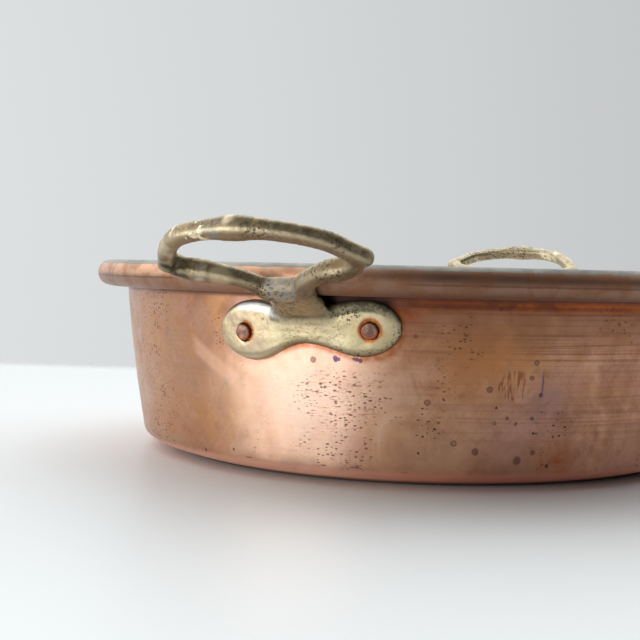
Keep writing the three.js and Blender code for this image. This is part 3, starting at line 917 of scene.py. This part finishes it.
def arc(centre, radius, start, end, steps):
    """Points of an arc, its angles in degrees."""
    angles = [math.radians(start + (end - start) * i / steps) for i in range(steps + 1)]
    return [Vector((centre.x + radius * math.cos(a), centre.y + radius * math.sin(a))) for a in angles]


def curve(start, leaving, arriving, end, steps):
    """Points of a smooth curve between two places, drawn by two handles, without its last point."""
    points = []
    for i in range(steps):
        t = i / steps
        weights = [(1 - t) ** 3, 3 * t * (1 - t) ** 2, 3 * t * t * (1 - t), t ** 3]
        handles = [start, leaving, arriving, end]
        points.append(sum((point * weight for point, weight in zip(handles, weights)), Vector((0, 0))))
    return points


def sheet_line():
    """Middle line of the sheet: base, corner, wall, flare under the rim, and the roll round the wire."""
    half = sheet / 2
    line = [Vector((base_spacing * i, half)) for i in range(10)]
    line += arc(Vector((base_flat, half + base_curve)), base_curve, -90, base_tilt - 90, 4)
    tilt = math.radians(base_tilt)
    edge = line.pop()
    foot = Vector((wall_radius(wall_start) - half, wall_start))
    below = foot - Vector((math.tan(wall_slope(wall_start)), 1)) * wall_turn
    line += curve(edge, edge + Vector((math.cos(tilt), math.sin(tilt))) * base_slope, below, foot, 16)
    flare_start = wall_top - sheet
    for i in range(wall_points):
        height = wall_start + (flare_start - wall_start) * i / wall_points
        line.append(Vector((wall_radius(height) - half, height)))
    start = Vector((wall_radius(flare_start) - half, flare_start))
    end = Vector((roll_centre.x - roll_radius + half, roll_centre.y))
    pull = (end.y - start.y) / 2
    above = start + Vector((math.tan(wall_slope(flare_start)), 1)) * pull
    line += curve(start, above, end - Vector((0, pull)), end, 8)
    line += arc(roll_centre, roll_radius - half, 180, 180 - roll_turn, 40)
    return line


def sheet_outline(line):
    """Outline of the sheet, half its thickness to each side of its middle line."""
    outside = []
    inside = []
    for i, point in enumerate(line):
        along = (line[min(i + 1, len(line) - 1)] - line[max(i - 1, 0)]).normalized()
        across = Vector((along.y, -along.x)) * sheet / 2
        outside.append(point + across)
        inside.append(point - across)
    outside[0].x = 0.0
    inside[0].x = 0.0
    return outside + inside[::-1]


def vertex_values(piece, name):
    """A vector of every vertex, such as its place or normal, as rows."""
    values = np.empty(len(piece.data.vertices) * 3)
    piece.data.vertices.foreach_get(name, values)
    return values.reshape(-1, 3)


def move_vertices(piece, place):
    """Puts every vertex at its place in the rows."""
    piece.data.vertices.foreach_set("co", place.ravel())
    piece.data.update()


def paint(piece, name, values):
    """A value at every vertex, which the looks read by its name."""
    attribute = piece.data.attributes.new(name, "FLOAT", "POINT")
    attribute.data.foreach_set("value", values.astype(np.float32))


def ramp(value, start, width):
    """Share from 0 at a start to 1 a width past it, or before it if the width is negative."""
    return np.clip((value - start) / width, 0, 1)


def eased(share):
    """A share that leaves 0 and reaches 1 gently."""
    return share * share * (3 - 2 * share)


def mark_inner_face(piece, line):
    """Attribute that is 1 on the tinned side of the sheet, up to the top of the roll."""
    co = vertex_values(piece, "co")
    flat = np.stack([np.hypot(co[:, 0], co[:, 1]), co[:, 2]], 1)
    middle = np.array([tuple(point) for point in line])
    along = np.gradient(middle, axis=0)
    nearest = ((flat[:, None] - middle[None]) ** 2).sum(2).argmin(1)
    off = flat - middle[nearest]
    side = along[nearest, 0] * off[:, 1] - along[nearest, 1] * off[:, 0]
    paint(piece, "inner_face", (side > 0) & (flat[:, 0] < roll_centre.x))


def wear_shell(piece):
    """Sheet that isn't quite round or flat any more, and a rim that was rolled by hand."""
    for vertex in piece.data.vertices:
        x, y, z = vertex.co
        radius = math.hypot(x, y)
        if radius < unworn_middle:
            continue
        on_rim = ramp(z, *rim_wear_height)
        off_base = ramp(z, *wall_wear_height)
        spot = Vector((x, y, z * 1.4))
        ripple = noise.noise(spot * ripple_waves + Vector((5, 1, 2)))
        swell = noise.noise(spot * swell_waves) * swell_depth + ripple * ripple_depth
        uneven = (noise.noise(Vector((x, y, 0.3)) * rim_wear_waves) - 1.0) * rim_wear_depth
        moved = swell * off_base * (1 - on_rim) + uneven * on_rim
        vertex.co = Vector((x * (1 + moved / radius), y * (1 + moved / radius), z + uneven * on_rim))


def modelled_shell():
    line = sheet_line()
    piece = turned_piece("copper_shell", sheet_outline(line), shell_segments)
    mark_inner_face(piece, line)
    wear_shell(piece)
    return piece


def apply_modifier(piece, kind, **settings):
    bpy.context.view_layer.objects.active = piece
    modifier = piece.modifiers.new(kind.lower(), kind)
    for name, value in settings.items():
        setattr(modifier, name, value)
    bpy.ops.object.modifier_apply(modifier=modifier.name)


def neighbour_mean(values, edges, count):
    """Each vertex's mean of its neighbours' values."""
    total = np.zeros_like(values)
    np.add.at(total, edges[:, 0], values[edges[:, 1]])
    np.add.at(total, edges[:, 1], values[edges[:, 0]])
    return total / count[:, None]


def mark_hollows(piece):
    """Paints hollow, above a half in hollows and below it on ridges, and upper_face, 1 on its top."""
    co = vertex_values(piece, "co")
    normal = vertex_values(piece, "normal")
    edges = np.empty(len(piece.data.edges) * 2, int)
    piece.data.edges.foreach_get("vertices", edges)
    edges = edges.reshape(-1, 2)
    count = np.maximum(np.bincount(edges.ravel(), minlength=len(co)), 1)
    smooth = co.copy()
    for _ in range(hollow_rounds):
        smooth = neighbour_mean(smooth, edges, count)
    depth = ((smooth - co) * normal).sum(1)
    paint(piece, "hollow", np.clip(0.5 + depth / hollow_depth, 0, 1))
    paint(piece, "upper_face", np.clip(normal[:, 2] / 2 + 0.5, 0, 1))


def fill_under_neck(piece):
    """Metal in the corner between the neck and the plate, up to the lower edge of the root."""
    place = vertex_values(piece, "co")
    normal = vertex_values(piece, "normal")
    radius = np.hypot(place[:, 0], place[:, 1])
    outwards = place[:, :2] / radius[:, None]
    ahead = np.column_stack([outwards, np.full(len(place), -1.0)]) / math.sqrt(2)
    depth = np.interp(radius + place[:, 2], neck_fill[0], neck_fill[1])
    across = ramp(np.abs(place[:, 0]), *neck_width)
    facing = ramp((normal * ahead).sum(1), *neck_facing)
    share = eased(across) * facing * (place[:, 1] < 0)
    place += ahead * (depth * share)[:, None]
    move_vertices(piece, place)


def shape_casting(piece):
    """A left lobe that is taller than the right one, and knuckles left rough at the left elbow."""
    place = vertex_values(piece, "co")
    normal = vertex_values(piece, "normal")
    along = np.arctan2(place[:, 0], -place[:, 1]) * plate_radius
    up = (place[:, 2] - plate_height) * math.cos(plate_lean) - along * math.sin(plate_lean)
    on_plate = ramp(np.hypot(place[:, 0], place[:, 1]), *plate_end_radius)
    left = ramp(along, *left_lobe) * on_plate
    place[:, 2] += up * lobe_growth * eased(left)
    for x, y, z, reach, size in knuckles:
        near = np.linalg.norm(place - np.array((x, y, z)), axis=1) / reach
        place += normal * (np.clip(1 - near * near, 0, 1) ** 2 * size)[:, None]
    on_loop = np.hypot(place[:, 0], place[:, 1]) > loop_inner_radius
    rough = ramp(along, *left_elbow) * on_loop
    rows = zip(place, rough)
    lumps = [noise.noise(Vector(spot) * elbow_waves) if share > 0 else 0 for spot, share in rows]
    place += normal * (np.array(lumps) * rough * elbow_lumps)[:, None]
    move_vertices(piece, place)


def cast_handle(name, node):
    """The CAD handle as it was cast: one skin over its joined bars, with its facets run together."""
    bpy.ops.object.select_all(action="DESELECT")
    piece = add_object(name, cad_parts[node].data.copy())
    piece.select_set(True)
    bpy.context.view_layer.objects.active = piece
    bpy.ops.object.mode_set(mode="EDIT")
    bpy.ops.mesh.select_all(action="SELECT")
    bpy.ops.mesh.remove_doubles(threshold=1e-6)
    bpy.ops.object.mode_set(mode="OBJECT")
    apply_modifier(piece, "REMESH", mode="VOXEL", voxel_size=casting_cell)
    apply_modifier(piece, "SMOOTH", factor=0.5, iterations=3)
    fill_under_neck(piece)
    shape_casting(piece)
    apply_modifier(piece, "SMOOTH", factor=0.5, iterations=5)
    place = vertex_values(piece, "co")
    coarse, fine = casting_waves
    lumps = [noise.noise(Vector(spot) * coarse) + 0.4 * noise.noise(Vector(spot) * fine) for spot in place]
    place += vertex_values(piece, "normal") * (np.array(lumps)[:, None] - 1.0) * casting_lumps
    move_vertices(piece, place)
    bpy.ops.object.shade_smooth()
    mark_hollows(piece)
    return piece


def turned_copy(piece, name):
    """Copy with its own mesh, half a turn round the pan."""
    other = add_object(name, piece.data.copy())
    other.data.transform(Matrix.Rotation(math.pi, 4, "Z"))
    return other


def modelled_rivet(name, side):
    """Rivet with a low head inside the pan and a worn plain end outside, set square to the wall."""
    along, height = leaned(side, -rivet_drop)
    inner_wall = wall_radius(height) - sheet
    sag = inner_wall - math.sqrt(inner_wall ** 2 - rivet_head_radius ** 2)
    under_head = -(sheet + sag + seat_gap)
    dome = [
        (rivet_head_radius * math.sin(a), under_head - rivet_head_height * math.cos(a))
        for a in [math.pi / 2 * i / 10 for i in range(11)]
    ]
    shank = [(rivet_radius, under_head), (rivet_radius, rivet_reach - rivet_spread)]
    flat_radius = rivet_end_radius - rivet_worn
    end = [
        (flat_radius + rivet_worn * math.sin(a), rivet_reach - rivet_worn * (1 - math.cos(a)))
        for a in (1.9, 1.57, 1.2, 0.8, 0.4, 0)
    ]
    flat = [(flat_radius * share, rivet_reach) for share in (0.75, 0.5, 0.25, 0)]
    outline = dome + shank + end + flat
    piece = turned_piece(name, outline, rivet_segments)
    for vertex in piece.data.vertices:
        if vertex.co.z > rivet_reach - rivet_uneven:
            spot = vertex.co * rivet_waves + Vector((side * 1000, 0, 0))
            elsewhere = spot + Vector((9, 4, 1))
            vertex.co += Vector((noise.noise(spot), noise.noise(elsewhere), 0)) * rivet_wander
            vertex.co.z += (noise.noise(spot * 0.6) - 1.0) * rivet_dents
    turn = along / plate_radius
    radius = wall_radius(height)
    foot = Vector((radius * math.sin(turn), -radius * math.cos(turn), height))
    upright = Matrix.Rotation(math.pi / 2 + wall_slope(height), 4, "X")
    piece.data.transform(Matrix.Translation(foot) @ Matrix.Rotation(turn, 4, "Z") @ upright)
    return piece


def show(piece, node, slot):
    """The piece stands for its CAD node and takes that node's finish."""
    piece.data.materials.clear()
    piece.data.materials.append(finishes[slot])
    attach(piece, "root")
    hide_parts(node)


bpy.context.scene.view_settings.view_transform = "Standard"
set_camera()
set_room()
add_table()
add_window()

finishes = {"copper": copper_and_tin_look(), "cast_brass": cast_brass_look(), "iron": rusty_iron_look()}
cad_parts["rim_wire"].data.materials.clear()
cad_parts["rim_wire"].data.materials.append(finishes["iron"])
show(modelled_shell(), "pan_shell", "copper")
front_handle = cast_handle("cast_front_handle", "front_handle")
back_handle = turned_copy(front_handle, "cast_back_handle")
show(front_handle, "front_handle", "cast_brass")
show(back_handle, "back_handle", "cast_brass")
for hand, side in (("left", -rivet_side), ("right", rivet_side)):
    front_rivet = modelled_rivet(f"iron_front_{hand}_rivet", side)
    back_rivet = turned_copy(front_rivet, f"iron_back_{hand}_rivet")
    show(front_rivet, f"front_{hand}_rivet", "iron")
    show(back_rivet, f"back_{hand}_rivet", "iron")
